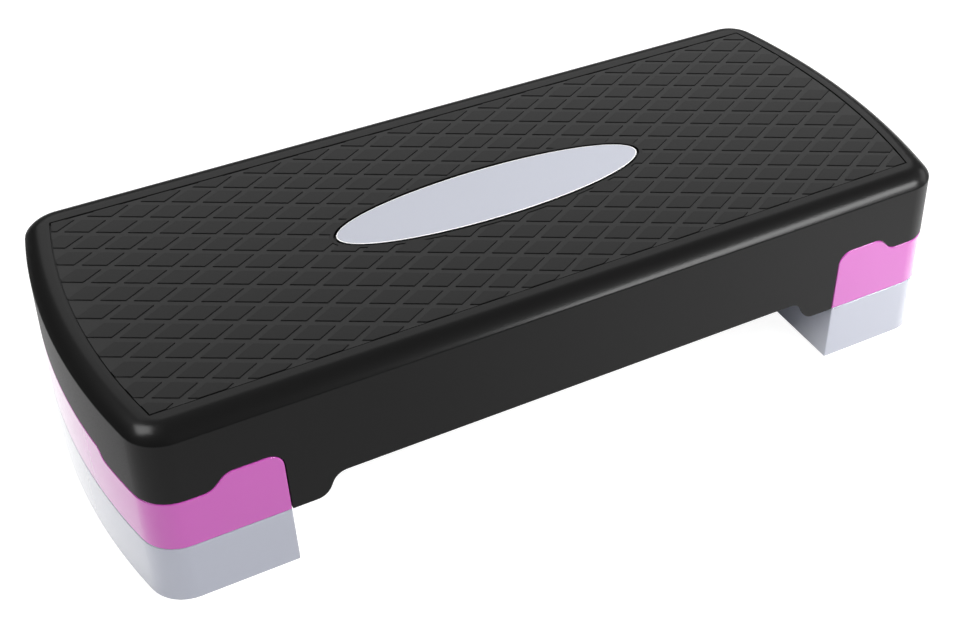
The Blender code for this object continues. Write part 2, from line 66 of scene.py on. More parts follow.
# lower edge of the deck and upper edge of the coloured tabs, heights above the floor
edges = {
    "archTop": 0.068,         # between the legs
    "legWidth": 0.030,
    "archRadius": 0.012,
    "archTurn": 65,           # degrees of each bend on the way up
    "tabTop": 0.103,
    "lobe": 0.091,            # band beside the tabs
    "lobeRun": 0.12,          # drawn on past the end of the step
    "tabLength": 0.0465,      # from the inboard face to the middle of its slope
    "tabCorner": 0.0115,
    "tabRadius": 0.012,
    "tabTurn": 45,
    "endTabTop": 0.0975,
    "endTabWidth": 0.153,
    "endTabRadius": 0.007,
    "endTabTurn": 50,
    "endTabFrom": 0.31,       # along the length, inside the end's outline
    "endTabDepth": 0.06,
    "steps": 7,
}

# drawing planes, by the directions that read as right and up
flat = {"plan": (Vector((1, 0, 0)), Vector((0, 1, 0))),
        "front": (Vector((1, 0, 0)), Vector((0, 0, 1))),
        "end": (Vector((0, 1, 0)), Vector((0, 0, 1)))}


class Pen:
    # draws a chain of edges in a plane: go straight, turn on the spot, or swing round an arc
    # turns are in degrees, to the left where they are positive
    def __init__(self, bm, plane, start, heading=0):
        self.bm = bm
        self.right, self.up = flat[plane]
        self.axis = self.right.cross(self.up)
        self.heading = math.radians(heading)
        self.vert = bm.verts.new(start)
        self.first = self.vert

    def ahead(self, quarter=0):
        angle = self.heading + quarter * math.pi / 2
        return self.right * math.cos(angle) + self.up * math.sin(angle)

    def go(self, length):
        fresh = self.bm.verts.new(self.vert.co + self.ahead() * length)
        self.bm.edges.new((self.vert, fresh))
        self.vert = fresh

    def to(self, point):
        fresh = self.bm.verts.new(point)
        self.bm.edges.new((self.vert, fresh))
        self.vert = fresh

    def turn(self, degrees):
        self.heading += math.radians(degrees)

    def arc(self, radius, degrees, steps):
        centre = self.vert.co + self.ahead(1) * radius * math.copysign(1, degrees)
        swung = bmesh.ops.spin(self.bm, geom=[self.vert], cent=centre, axis=self.axis,
                               angle=math.radians(degrees), steps=steps)
        self.vert = swung["geom_last"][0]
        self.heading += math.radians(degrees)

    def swerve(self, rise, radius, degrees, steps):
        # leaves level, climbs to the side of the turn and ends level again
        self.arc(radius, degrees, steps)
        self.go(swerveSlope(rise, radius, degrees))
        self.arc(radius, -degrees, steps)

    def close(self):
        self.bm.edges.new((self.vert, self.first))


def swerveSlope(rise, radius, degrees):
    # length of the straight between the two arcs
    swung = math.radians(abs(degrees))
    return (rise - 2 * radius * (1 - math.cos(swung))) / math.sin(swung)


def swerveRun(rise, radius, degrees):
    # how far the whole swerve goes ahead
    swung = math.radians(degrees)
    return 2 * radius * math.sin(swung) + swerveSlope(rise, radius, degrees) * math.cos(swung)


def faceAt(z):
    # inboard face of a block or riser at a height
    return plan["faceX"] + plan["faceDraft"] * z


def cornerOf(z, inset):
    # centre of the right-hand back corner, and the angle at which the corner meets the bow
    drafted = inset + plan["sideDraft"] * z
    radius = plan["cornerRadius"] - inset
    bow = plan["endRadius"] - drafted
    bowX = plan["length"] / 2 - plan["endRadius"]
    y = plan["width"] / 2 - drafted - radius
    x = bowX + math.sqrt((bow - radius) ** 2 - y ** 2)
    return x, y, radius, bow, math.degrees(math.atan2(y, x - bowX))


def drawEnd(pen, z, inset):
    radius, bow, meet = cornerOf(z, inset)[2:]
    pen.arc(radius, 90 - meet, plan["cornerSteps"])
    pen.arc(bow, 2 * meet, plan["endSteps"])
    pen.arc(radius, 90 - meet, plan["cornerSteps"])


def deckRing(bm, z, inset):
    # the whole outline: two bowed ends, four round corners, two straight sides
    x, y, radius = cornerOf(z, inset)[:3]
    pen = Pen(bm, "plan", (x, -y - radius, z))
    drawEnd(pen, z, inset)
    pen.go(2 * x)
    drawEnd(pen, z, inset)
    pen.close()


def blockRing(bm, z, inset, faceInset):
    # right-hand end of the outline, closed by the flat inboard face
    x, y, radius = cornerOf(z, inset)[:3]
    face = faceAt(z) + faceInset
    pen = Pen(bm, "plan", (face, -y - radius, z))
    pen.go(x - face)
    drawEnd(pen, z, inset)
    pen.go(x - face)
    pen.close()


def asObject(bm, name):
    # a mesh with its faces outwards, in the scene
    bmesh.ops.recalc_face_normals(bm, faces=bm.faces)
    mesh = bpy.data.meshes.new(name)
    bm.to_mesh(mesh)
    bm.free()
    thing = bpy.data.objects.new(name, mesh)
    bpy.context.scene.collection.objects.link(thing)
    return thing


def loft(name, draw, stages):
    # closed solid through rings, each drawn with the arguments of one stage
    bm = bmesh.new()
    loops = []
    for stage in stages:
        known = set(bm.edges)
        draw(bm, *stage)
        loops.append([edge for edge in bm.edges if edge not in known])
    for lower, upper in zip(loops, loops[1:]):
        bmesh.ops.bridge_loops(bm, edges=lower + upper)
    bmesh.ops.contextual_create(bm, geom=loops[0])
    bmesh.ops.contextual_create(bm, geom=loops[-1])
    return asObject(bm, name)


def prism(name, draw, push):
    # one drawn outline, filled and pushed along a vector
    bm = bmesh.new()
    draw(bm)
    bmesh.ops.contextual_create(bm, geom=bm.edges[:])
    raised = bmesh.ops.extrude_face_region(bm, geom=bm.faces[:])
    moved = [part for part in raised["geom"] if isinstance(part, bmesh.types.BMVert)]
    bmesh.ops.translate(bm, vec=push, verts=moved)
    return asObject(bm, name)


def boxes(name, corners):
    # blocks between pairs of corners
    bm = bmesh.new()
    for low, high in corners:
        made = bmesh.ops.create_cube(bm, size=1)
        size = Vector(high) - Vector(low)
        bmesh.ops.scale(bm, vec=size, verts=made["verts"])
        bmesh.ops.translate(bm, vec=(Vector(low) + Vector(high)) / 2, verts=made["verts"])
    return asObject(bm, name)


def rounds(name, centres, radius, low, high, segments=28):
    # upright cylinders between two heights
    bm = bmesh.new()
    for x, y in centres:
        made = bmesh.ops.create_cone(bm, cap_ends=True, segments=segments, radius1=radius,
                                     radius2=radius, depth=high - low)
        bmesh.ops.translate(bm, vec=(x, y, (low + high) / 2), verts=made["verts"])
    return asObject(bm, name)


def ovalPrism(name, halfLength, halfWidth, low, high, segments=128):
    # upright oval between two heights
    bm = bmesh.new()
    made = bmesh.ops.create_cone(bm, cap_ends=True, segments=segments, radius1=1, radius2=1,
                                 depth=1)
    bmesh.ops.scale(bm, vec=(halfLength, halfWidth, high - low), verts=made["verts"])
    bmesh.ops.translate(bm, vec=(0, 0, (low + high) / 2), verts=made["verts"])
    return asObject(bm, name)


def bake(thing):
    # keeps what the modifiers have made of the mesh
    finished = thing.evaluated_get(bpy.context.evaluated_depsgraph_get())
    made = bpy.data.meshes.new_from_object(finished)
    thing.modifiers.clear()
    old = thing.data
    thing.data = made
    bpy.data.meshes.remove(old)


def carve(thing, tool, operation="DIFFERENCE"):
    step = thing.modifiers.new("carve", "BOOLEAN")
    step.operation = operation
    step.solver = "EXACT"
    step.object = tool
    bake(thing)
    bpy.data.objects.remove(tool, do_unlink=True)


def roundEdges(thing, width, segments, angle=40):
    # rounds the sharp edges that stand out, and leaves inner corners as they are
    bm = bmesh.new()
    bm.from_mesh(thing.data)
    sharp = [edge for edge in bm.edges
             if edge.calc_face_angle_signed(0) > math.radians(angle)]
    bmesh.ops.bevel(bm, geom=sharp, offset=width, offset_type="OFFSET", segments=segments,
                    profile=0.5, affect="EDGES", clamp_overlap=False, material=-1)
    bm.to_mesh(thing.data)
    bm.free()
    return thing


def smooth(thing, angle=32):
    # soft shading, with a clear line at edges sharper than the angle
    thing.data.shade_smooth()
    thing.data.set_sharp_from_angle(angle=math.radians(angle))
    weighted = thing.modifiers.new("weighted", "WEIGHTED_NORMAL")
    weighted.keep_sharp = True


def leftCopy(thing, name):
    # the left-hand piece is the right-hand one turned half round
    mesh = thing.data.copy()
    mesh.transform(Matrix.Rotation(math.pi, 4, "Z"))
    twin = bpy.data.objects.new(name, mesh)
    bpy.context.scene.collection.objects.link(twin)
    return twin


def settle(piece, node, body, material):
    # the finished piece takes its CAD node's place
    piece.name = node + "_moulding"
    piece.data.name = piece.name
    piece.data.materials.clear()
    piece.data.materials.append(material)
    smooth(piece)
    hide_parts(node)
    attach(piece, body)


# materials

# the same for the plastics and the rubber
mould = {
    "cloudScale": 9.0,        # clouds about 110 mm across
    "grainAspect": 6,         # width of the grain over its depth
    "grainLow": 0.3,          # part of the grain's noise that the roughness follows
    "grainHigh": 0.7,
    "ior": 1.49,              # polypropylene
}


def hexColour(code):
    # sRGB hex to linear
    channels = [int(code[place:place + 2], 16) / 255 for place in (1, 3, 5)]
    return [c / 12.92 if c <= 0.04045 else ((c + 0.055) / 1.055) ** 2.4 for c in channels] + [1.0]


def addNode(tree, kind, inputs=None, **settings):
    # an input is a value, or the output socket that feeds it
    node = tree.nodes.new(kind)
    for name, value in settings.items():
        setattr(node, name, value)
    for socket, source in (inputs or {}).items():
        if isinstance(source, bpy.types.NodeSocket):
            tree.links.new(source, node.inputs[socket])
        else:
            node.inputs[socket].default_value = source
    return node


def newMaterial(name):
    material = bpy.data.materials.new(name)
    material.use_nodes = True
    tree = material.node_tree
    return material, tree, tree.nodes["Principled BSDF"]


def grainedPlastic(name, look):
    # moulded plastic: even colour with a faint cloud in it, a fine etched grain, a soft sheen
    material, tree, shader = newMaterial(name)
    place = addNode(tree, "ShaderNodeTexCoord").outputs["Object"]
    cloud = addNode(tree, "ShaderNodeTexNoise", {"Vector": place, "Scale": mould["cloudScale"],
                                                 "Detail": 3.0}).outputs[0]
    # sockets 6 and 7 are the two colours of the Mix node, and output 2 its colour
    colour = addNode(tree, "ShaderNodeMix",
                     {"Factor": cloud, 6: hexColour(look["colour"]), 7: hexColour(look["cloud"])},
                     data_type="RGBA").outputs[2]
    height = addNode(tree, "ShaderNodeSeparateXYZ", {"Vector": place}).outputs["Z"]
    facing = addNode(tree, "ShaderNodeTexCoord").outputs["Normal"]
    upward = addNode(tree, "ShaderNodeSeparateXYZ", {"Vector": facing}).outputs["Z"]
    for low, high, least, code in look.get("bands", ()):
        # between two heights the surface has a tone of its own, where it faces up at least so much
        above = addNode(tree, "ShaderNodeMath", {0: height, 1: low},
                        operation="GREATER_THAN").outputs[0]
        below = addNode(tree, "ShaderNodeMath", {0: height, 1: high},
                        operation="LESS_THAN").outputs[0]
        within = addNode(tree, "ShaderNodeMath", {0: above, 1: below},
                         operation="MULTIPLY").outputs[0]
        level = addNode(tree, "ShaderNodeMath", {0: upward, 1: least},
                        operation="GREATER_THAN").outputs[0]
        there = addNode(tree, "ShaderNodeMath", {0: within, 1: level},
                        operation="MULTIPLY").outputs[0]
        colour = addNode(tree, "ShaderNodeMix", {"Factor": there, 6: colour, 7: hexColour(code)},
                         data_type="RGBA").outputs[2]
    for length, width, side, code in look.get("paintedLightOvals", ()):
        # inside or outside an oval the surface has a tone of its own, used for painted shade and
        # painted highlights
        scaled = addNode(tree, "ShaderNodeVectorMath", {0: place, 1: (2 / length, 2 / width, 0)},
                         operation="MULTIPLY").outputs[0]
        reach = addNode(tree, "ShaderNodeVectorMath", {0: scaled},
                        operation="LENGTH").outputs["Value"]
        there = addNode(tree, "ShaderNodeMath", {0: reach, 1: 1.0}, operation=side).outputs[0]
        colour = addNode(tree, "ShaderNodeMix", {"Factor": there, 6: colour, 7: hexColour(code)},
                         data_type="RGBA").outputs[2]
    grain = addNode(tree, "ShaderNodeTexNoise",
                    {"Vector": place, "Scale": 1 / look["grain"], "Detail": 2.0,
                     "Roughness": 0.6}).outputs[0]
    satin = addNode(tree, "ShaderNodeMapRange",
                    {"Value": grain, "From Min": mould["grainLow"], "From Max": mould["grainHigh"],
                     "To Min": look["roughness"] - look["spread"],
                     "To Max": look["roughness"] + look["spread"]}).outputs[0]
    bump = addNode(tree, "ShaderNodeBump",
                   {"Height": grain, "Strength": look["bump"],
                    "Distance": look["grain"] / mould["grainAspect"]}).outputs[0]
    tree.links.new(colour, shader.inputs["Base Color"])
    tree.links.new(satin, shader.inputs["Roughness"])
    tree.links.new(bump, shader.inputs["Normal"])
    shader.inputs["IOR"].default_value = mould["ior"]
    shader.inputs["Specular IOR Level"].default_value = look["specular"]
    shader.inputs["Coat Weight"].default_value = look["skin"]
    shader.inputs["Coat Roughness"].default_value = look["skinRoughness"]
    return material


# black PP, satin: a soft sheen with no sharp reflection in it
blackPolypropylene = grainedPlastic("blackMouldedPolypropylene", {
    "colour": "#111111", "cloud": "#141414", "roughness": 0.50, "spread": 0.05,
    "grain": 0.0009,          # the etched grain is about 0.3 mm, drawn coarser so that it shows
    "bump": 0.10, "specular": 0.04, "skin": 0.19, "skinRoughness": 0.22,
    # lowest and highest point, how far it faces up, tone: the floors of the tread's grooves are
    # lighter than the tile tops
    "bands": ((0.1491, 0.14975, 0.999, "#232323"), (0.14975, 0.1502, 0.999, "#161616")),
    # length, width, side, tone: the seat of the badge is painted near black, a painted shade in
    # the gap round the badge
    "paintedLightOvals": ((0.2600, 0.0675, "LESS_THAN", "#030303"),)})

# pink PP: smoother from a polished tool, so it shows a clearer sheen than the deck
pinkPolypropylene = grainedPlastic("pinkMouldedPolypropylene", {
    "colour": "#c84eb7", "cloud": "#cb54bb", "roughness": 0.20, "spread": 0.03,
    "grain": 0.0012, "bump": 0.05, "specular": 0.2,
    "skin": 1.0, "skinRoughness": 0.14})

# lilac grey PP, with the same polished finish as the pink
greyPolypropylene = grainedPlastic("lilacGreyMouldedPolypropylene", {
    "colour": "#b4b8c6", "cloud": "#b7bac8", "roughness": 0.20, "spread": 0.03,
    "grain": 0.0012, "bump": 0.05, "specular": 0.2,
    "skin": 1.0, "skinRoughness": 0.14})

# silk-lacquered ABS plate: pale and evenly matt, with a painted highlight on its rim and painted
# shade on the edge below it
paleBadge = grainedPlastic("paleSilkLacqueredAbs", {
    "colour": "#b2b5c1", "cloud": "#b4b7c3", "roughness": 0.30, "spread": 0.03,
    "grain": 0.0006, "bump": 0.03, "specular": 0.5, "skin": 0, "skinRoughness": 0.3,
    "paintedLightOvals": ((0.2535, 0.0610, "GREATER_THAN", "#ffffff"),       # rim: painted highlight
              (0.2552, 0.0627, "GREATER_THAN", "#050505"))})     # edge: painted shade

# black rubber of the feet: matt, slightly mottled
blackRubber = grainedPlastic("blackMouldedRubber", {
    "colour": "#1b1b1b", "cloud": "#222222", "roughness": 0.75, "spread": 0.08,
    "grain": 0.0010, "bump": 0.25, "specular": 0.3, "skin": 0, "skinRoughness": 0.3})
print("materials ready")


# deck

deck = {
    "rounding": 0.0226,       # round the edge of the tread
    "crease": 40,             # degrees of the soft crease where the rounding meets the side
    "creaseRadius": 0.0020,
    "roundSteps": 12,
    "creaseSteps": 4,
    "wall": 0.003,
    "topWall": 0.0044,
    "crossWall": 0.003,
    "rib": 0.0022,
    "ribDepth": 0.016,
    "rows": 4,                # cells between the ribs, across the width
    "columns": 8,             # and along the length
    "edge": 0.0006,           # soft edge left by the mould along cut-outs
    "edgeSteps": 3,
    "reveal": 0.0006,         # dark line round the coloured tabs
}


def deckSolid(name, wall, top, low):
    # the deck's shape, set in by the wall at the sides and by the top wall at the tread
    rounding, small = deck["rounding"] - wall, deck["creaseRadius"]
    centre = plan["top"] - top - rounding
    start = math.radians(deck["crease"])
    spring = centre + (rounding - small) * math.sin(start)
    stages = [(low, wall)]
    for step in range(deck["creaseSteps"]):
        turn = start * step / deck["creaseSteps"]
        stages.append((spring + small * math.sin(turn), spring,
                       wall + small * (1 - math.cos(turn))))
    for step in range(deck["roundSteps"] + 1):
        turn = start + (math.pi / 2 - start) * step / deck["roundSteps"]
        stages.append((centre + rounding * math.sin(turn), spring,
                       wall + small * (1 - math.cos(start))
                       + rounding * (math.cos(start) - math.cos(turn))))

    def draw(bm, z, *rest):
        # the rounding keeps the outline of its spring line, so its draft doesn't go on
        if len(rest) == 1:
            deckRing(bm, z, rest[0])
        else:
            known = set(bm.verts)
            deckRing(bm, rest[0], rest[1])
            fresh = [vert for vert in bm.verts if vert not in known]
            bmesh.ops.translate(bm, vec=(0, 0, z - rest[0]), verts=fresh)

    return loft(name, draw, stages)


def drawArch(bm):
    # from leg to leg under the front, seen from the front
    rise = edges["archTop"] - plan["riserTop"]
    run = swerveRun(rise, edges["archRadius"], edges["archTurn"])
    legX = faceAt(plan["riserTop"]) - plan["nest"] - edges["legWidth"] + run / 2
    pen = Pen(bm, "front", (legX, -plan["width"], plan["riserTop"] - plan["past"]), 90)
    pen.go(plan["past"])
    pen.turn(90)
    pen.swerve(rise, edges["archRadius"], -edges["archTurn"], edges["steps"])
    pen.go(2 * (legX - run))
    pen.swerve(rise, edges["archRadius"], edges["archTurn"], edges["steps"])
    pen.turn(90)
    pen.go(plan["past"])
    pen.close()


def drawTab(bm, gap, floor, ceiling=None):
    # upper edge of the tab and of the lobe beside it, from the inboard face outwards,
    # closed along the floor, or along the ceiling for what lies above the tab
    cornerZ = edges["tabTop"] - edges["tabCorner"]
    start = (faceAt(floor) - gap, -plan["width"], floor)
    lean = math.degrees(math.atan2(1, plan["faceDraft"]))
    pen = Pen(bm, "front", start, lean)
    pen.go((cornerZ - floor) / math.sin(math.radians(lean)))
    pen.arc(edges["tabCorner"] + gap, -lean, edges["steps"])
    drop = edges["tabTop"] - edges["lobe"]
    run = swerveRun(drop, edges["tabRadius"], edges["tabTurn"])
    pen.go(faceAt(plan["riserTop"]) + edges["tabLength"] - run / 2 - pen.vert.co.x)
    pen.swerve(drop, edges["tabRadius"], -edges["tabTurn"], edges["steps"])
    pen.go(edges["lobeRun"])
    if ceiling is None:
        pen.to((pen.vert.co.x, -plan["width"], floor))
    else:
        pen.to((pen.vert.co.x, -plan["width"], ceiling))
        pen.to((start[0] - plan["past"], -plan["width"], ceiling))
        pen.to((start[0] - plan["past"], -plan["width"], floor))
    pen.close()


def drawEndTab(bm, gap):
    # tab in the middle of the end, seen along the length
    rise = edges["endTabTop"] - edges["lobe"]
    radius, turn = edges["endTabRadius"], edges["endTabTurn"]
    run = swerveRun(rise, radius, turn)
    reach = edges["endTabWidth"] / 2 + run / 2
    low = plan["riserTop"] - plan["past"]
    pen = Pen(bm, "end", (edges["endTabFrom"], -reach - gap, low), 90)
    pen.go(edges["lobe"] + gap - low)
    pen.turn(-90)
    pen.swerve(rise, radius, turn, edges["steps"])
    pen.go(2 * (reach - run) + 2 * gap)
    pen.swerve(rise, radius, -turn, edges["steps"])
    pen.turn(-90)
    pen.go(edges["lobe"] + gap - low)
    pen.close()


def endTabPrism(gap):
    return prism("endTab", lambda bm: drawEndTab(bm, gap), (edges["endTabDepth"], 0, 0))


def turned(tool):
    # half round, to the left-hand end
    tool.data.transform(Matrix.Rotation(math.pi, 4, "Z"))
    return tool


def across(count, low, high):
    # inner borders of so many equal cells
    return [low + (high - low) * step / count for step in range(1, count)]


def makeDeck():
    body = deckSolid("deckBody", 0, 0, plan["riserTop"])
    depth = (0, 2 * plan["width"], 0)
    carve(body, prism("arch", drawArch, depth))
    low = plan["riserTop"] - plan["past"]
    for flip in (False, True):
        notch = prism("notch", lambda bm: drawTab(bm, deck["reveal"], low), depth)
        for tool in (notch, endTabPrism(deck["reveal"])):
            carve(body, turned(tool) if flip else tool)
    roundEdges(body, deck["edge"], deck["edgeSteps"])
    print("deck outside done", len(body.data.polygons))

    hollow = deckSolid("deckHollow", deck["wall"], deck["topWall"], low)
    ribBottom = plan["blockTop"] + plan["gap"]
    wallOut = faceAt(ribBottom) - plan["nest"]
    wallIn = wallOut - deck["crossWall"]
    wallLow = low - plan["past"]
    footOut = faceAt(wallLow) - plan["nest"]
    outline = [(footOut, wallLow), (wallOut, ribBottom), (wallOut, plan["top"]),
               (wallIn, plan["top"]), (wallIn, ribBottom), (footOut - deck["crossWall"], wallLow)]
    for side in (-1, 1):

        def drawWall(bm):
            # wall beside the block's core, leaning as its inboard face does
            pen = Pen(bm, "front", (side * outline[0][0], -plan["width"], outline[0][1]))
            for x, z in outline[1:]:
                pen.to((side * x, -plan["width"], z))
            pen.close()

        carve(hollow, prism("crossWall", drawWall, depth))
    half = deck["rib"] / 2
    shallow = plan["top"] - deck["topWall"] - deck["ribDepth"]
    standing = [(x, shallow) for x in across(deck["columns"], -wallIn, wallIn)]
    standing += [(side * (wallOut + plan["length"] / 2) / 2, ribBottom) for side in (-1, 1)]
    carve(hollow, boxes("ribsAcross", [((x - half, -plan["farY"], z),
                                        (x + half, plan["farY"], plan["top"]))
                                       for x, z in standing]))
    # the ribs along the deck reach down to the blocks, and are shallower between the cross walls
    turnX = (wallIn + wallOut) / 2
    rows = across(deck["rows"], -plan["width"] / 2, plan["width"] / 2)
    for lowX, highX, z in ((-plan["farX"], -turnX, ribBottom), (-turnX, turnX, shallow),
                           (turnX, plan["farX"], ribBottom)):
        carve(hollow, boxes("ribsAlong", [((lowX, y - half, z), (highX, y + half, plan["top"]))
                                          for y in rows]))
    carve(body, hollow)
    print("deck hollow done", len(body.data.polygons))
    return body


# tread: border line, grip tiles, and a plain ring with the badge's seat in it

tread = {
    "ground": 0.1494,         # floors of the grooves between the tiles
    "sideMargin": 0.0231,     # from the deck's outline to the border line
    "endMargin": 0.0190,
    "bowSteps": 24,
    "line": 0.0009,           # width of the border line
    "lineDepth": 0.0015,
    "grooveInset": 0.5,       # grooves and tiles end inside the line, as shares of its width
    "tileInset": 0.75,
    "pitchX": 0.0406,
    "pitchY": 0.0226,
    "columns": 16,            # to each side of the middle, some of them past the line
    "rows": 7,
    "groove": 0.0046,
    "postBelow": 0.005,       # the tiles are cut from posts that stand out below and above
    "postAbove": 0.03,
    "topEdge": 0.0004,        # rounding round the tile tops and along the border line
    "topEdgeSteps": 2,
    "sharp": 1,               # radians at the least between the top and a groove's wall
    "level": 0.00001,         # points this near to the top's height count as on it
    "smallest": 0.14,         # share of a whole tile that is still moulded
    "upward": 0.9,            # height of the normal of a face that counts as a tile's top
    "ring": 0.0050,           # width of the plain ring
}

badge = {
    "length": 0.2555,
    "width": 0.0630,
    "thickness": 0.0018,
    "edge": 0.0005,
    "edgeSteps": 4,
    "reveal": 0.0019,         # dark line round the badge, where its seat shows: real shade in the gap and the seat's painted shade
}


def drawTread(bm, z, inset):
    # border line of the tread: straight sides, bowed ends, sharp corners
    draft = plan["sideDraft"] * plan["top"]
    side = plan["width"] / 2 - draft - tread["sideMargin"] - inset
    bow = plan["endRadius"] - draft - tread["endMargin"] - inset
    centre = plan["length"] / 2 - plan["endRadius"]
    meet = math.asin(side / bow)
    x = centre + bow * math.cos(meet)
    pen = Pen(bm, "plan", (x, -side, z), 90 - math.degrees(meet))
    for end in range(2):
        pen.arc(bow, 2 * math.degrees(meet), tread["bowSteps"])
        pen.turn(90 - math.degrees(meet))
        if end == 0:
            pen.go(2 * x)
        pen.turn(90 - math.degrees(meet))
    pen.close()


def treadPrism(name, inset, low, high):
    return prism(name, lambda bm: drawTread(bm, low, inset), (0, 0, high - low))


def makeTiles():
    # rhombic posts that are left standing between the grooves, trimmed inside the border line
    halfX, halfY = tread["pitchX"] / 2, tread["pitchY"] / 2
    # each groove takes half its width from the tile on either side
    take = tread["groove"] / 2 * math.hypot(halfX, halfY)
    low, high = tread["ground"] - tread["postBelow"], plan["top"] + tread["postAbove"]
    bm = bmesh.new()
    for column in range(-tread["columns"], tread["columns"] + 1):
        # every second column is half a row further up
        shift = 0.5 if column % 2 == 0 else 0
        for row in range(-tread["rows"], tread["rows"] + 1):
            x = column * halfX
            y = (row + shift) * tread["pitchY"]
            made = bmesh.ops.create_cone(bm, cap_ends=True, segments=4, radius1=1, radius2=1,
                                         depth=high - low)
            # the four-sided cone may stand square to the axes: its corners are turned onto them
            start = math.atan2(made["verts"][0].co.y, made["verts"][0].co.x)
            bmesh.ops.rotate(bm, verts=made["verts"], matrix=Matrix.Rotation(-start, 3, "Z"))
            bmesh.ops.scale(bm, vec=(halfX - take / halfY, halfY - take / halfX, 1),
                            verts=made["verts"])
            bmesh.ops.translate(bm, vec=(x, y, (high + low) / 2), verts=made["verts"])
    tiles = asObject(bm, "gripTiles")
    carve(tiles, treadPrism("limit", tread["line"] * tread["tileInset"], low - tread["postBelow"],
                            high + tread["postBelow"]), "INTERSECT")
    return dropSlivers(tiles)


def dropSlivers(tiles):
    # cut tiles that are too small to be moulded are left out
    bm = bmesh.new()
    bm.from_mesh(tiles.data)
    whole = 2 * (tread["pitchX"] / 2) * (tread["pitchY"] / 2)
    seen = set()
    doomed = []
    for start in bm.verts:
        if start in seen:
            continue
        shell = {start}
        todo = [start]
        while todo:
            for edge in todo.pop().link_edges:
                for vert in edge.verts:
                    if vert not in shell:
                        shell.add(vert)
                        todo.append(vert)
        seen |= shell
        tops = {face for vert in shell for face in vert.link_faces
                if face.normal.z > tread["upward"]}
        if sum(face.calc_area() for face in tops) < tread["smallest"] * whole:
            doomed += shell
    bmesh.ops.delete(bm, geom=doomed, context="VERTS")
    bm.to_mesh(tiles.data)
    bm.free()
    return tiles


def roundTops(thing):
    # rounds every edge between the tread's top and a groove
    bm = bmesh.new()
    bm.from_mesh(thing.data)
    rims = [edge for edge in bm.edges
            if all(abs(vert.co.z - plan["top"]) < tread["level"] for vert in edge.verts)
            and edge.calc_face_angle(0) > tread["sharp"]]
    bmesh.ops.bevel(bm, geom=rims, offset=tread["topEdge"], offset_type="OFFSET",
                    segments=tread["topEdgeSteps"], profile=0.5, affect="EDGES",
                    clamp_overlap=False, material=-1)
    bm.to_mesh(thing.data)
    bm.free()
    return thing


def finishTread(body):
    # border line, grooves between the tiles and round the plain ring, and the badge's seat
    top = plan["top"] + plan["past"]
    low, high = tread["ground"] - plan["past"], top + plan["past"]
    line = treadPrism("borderLine", 0, plan["top"] - tread["lineDepth"], top)
    carve(line, treadPrism("borderInside", tread["line"], low, high))
    carve(body, line)
    halfLength, halfWidth = badge["length"] / 2, badge["width"] / 2
    grooves = treadPrism("grooves", tread["line"] * tread["grooveInset"], tread["ground"], top)
    carve(grooves, ovalPrism("ring", halfLength + tread["ring"], halfWidth + tread["ring"],
                             low, high))
    carve(grooves, makeTiles())
    carve(body, grooves)
    carve(body, ovalPrism("badgeSeat", halfLength + badge["reveal"], halfWidth + badge["reveal"],
                          plan["top"] - badge["thickness"] - plan["gap"], top))
    return roundTops(body)


def makeBadge():
    plate = ovalPrism("badge", badge["length"] / 2, badge["width"] / 2,
                      plan["top"] - badge["thickness"], plan["top"])
    return roundEdges(plate, badge["edge"], badge["edgeSteps"])


# blocks and risers, made as the right-hand ones

# the riser has the block's walls, ribs, columns and edges
block = {
    "wall": 0.003,
    "skirt": 0.003,           # wall of the deck, round the block's core
    "rib": 0.0022,
    "ribDepth": 0.014,
    "ribRun": 0.6,            # drawn from the middle of the step to past its end
    "cells": 6,               # between the ribs, across the width
    "column": 0.003,          # wall of the column over each foot
    "web": 0.003,             # floor of the column, which the foot's stem goes through
    "edge": 0.0009,
    "edgeSteps": 3,
    "hair": 0.00005,          # the tab's cutter stands off the flat face by so much
    "hairDrop": 0.0001,       # and starts so far below the tab's round corner
}

riser = {
    "spigotHeight": 0.010,
    "spigotWall": 0.0025,
    "spigotRoot": 0.0015,     # how deep it is sunk in the riser's top
}

# turned rubber foot with a ribbed sole, a disc, a stem and a barb that holds it
foot = {
    "fromEnd": 0.034,         # its middle, from the end and the inboard face
    "fromSide": 0.045,        # and from the long side
    "radius": 0.010,
    "thickness": 0.004,
    "proud": 0.001,           # how far it stands out below
    # radius and height of the rings under the sole
    "rings": ((0, 0.0002), (0.0030, 0.0002), (0.0034, 0.0006), (0.0044, 0.0006), (0.0048, 0),
              (0.0062, 0), (0.0066, 0.0006), (0.0074, 0.0006), (0.0078, 0)),
    # and of its rounded rim, from the rim inwards
    "rim": ((0.0008, 0), (0.0002, 0.0003), (0, 0.0009)),
    "topEdge": 0.0004,
    "stem": 0.003,
    "barb": 0.0042,
    "barbHeight": 0.0035,
    "barbEdge": 0.0006,
    "barbTip": 0.5,           # share of the stem's radius
    "steps": 32,
    "weld": 0.00001,
}
footY = plan["width"] / 2 - foot["fromSide"]
footCentres = [(x, y) for x in (faceAt(0) + foot["fromEnd"], plan["length"] / 2 - foot["fromEnd"])
               for y in (-footY, footY)]


def leaveRibs(hollow, bottom, top):
    # takes ribs and columns out of the hollow, so that they are left standing in the piece
    half = block["rib"] / 2
    low = top - block["wall"] - block["ribDepth"]
    middle = (faceAt(0) + plan["length"] / 2) / 2
    rows = [-footY] + across(block["cells"] - 2, -footY, footY) + [footY]
    carve(hollow, boxes("ribAcross", [((middle - half, -plan["farY"], low),
                                       (middle + half, plan["farY"], top))]))
    carve(hollow, boxes("ribsAlong", [((0, y - half, low), (block["ribRun"], y + half, top))
                                      for y in rows]))
    column = foot["radius"] + plan["gap"] + block["column"]
    carve(hollow, rounds("columns", footCentres, column, bottom - 2 * plan["past"], top))


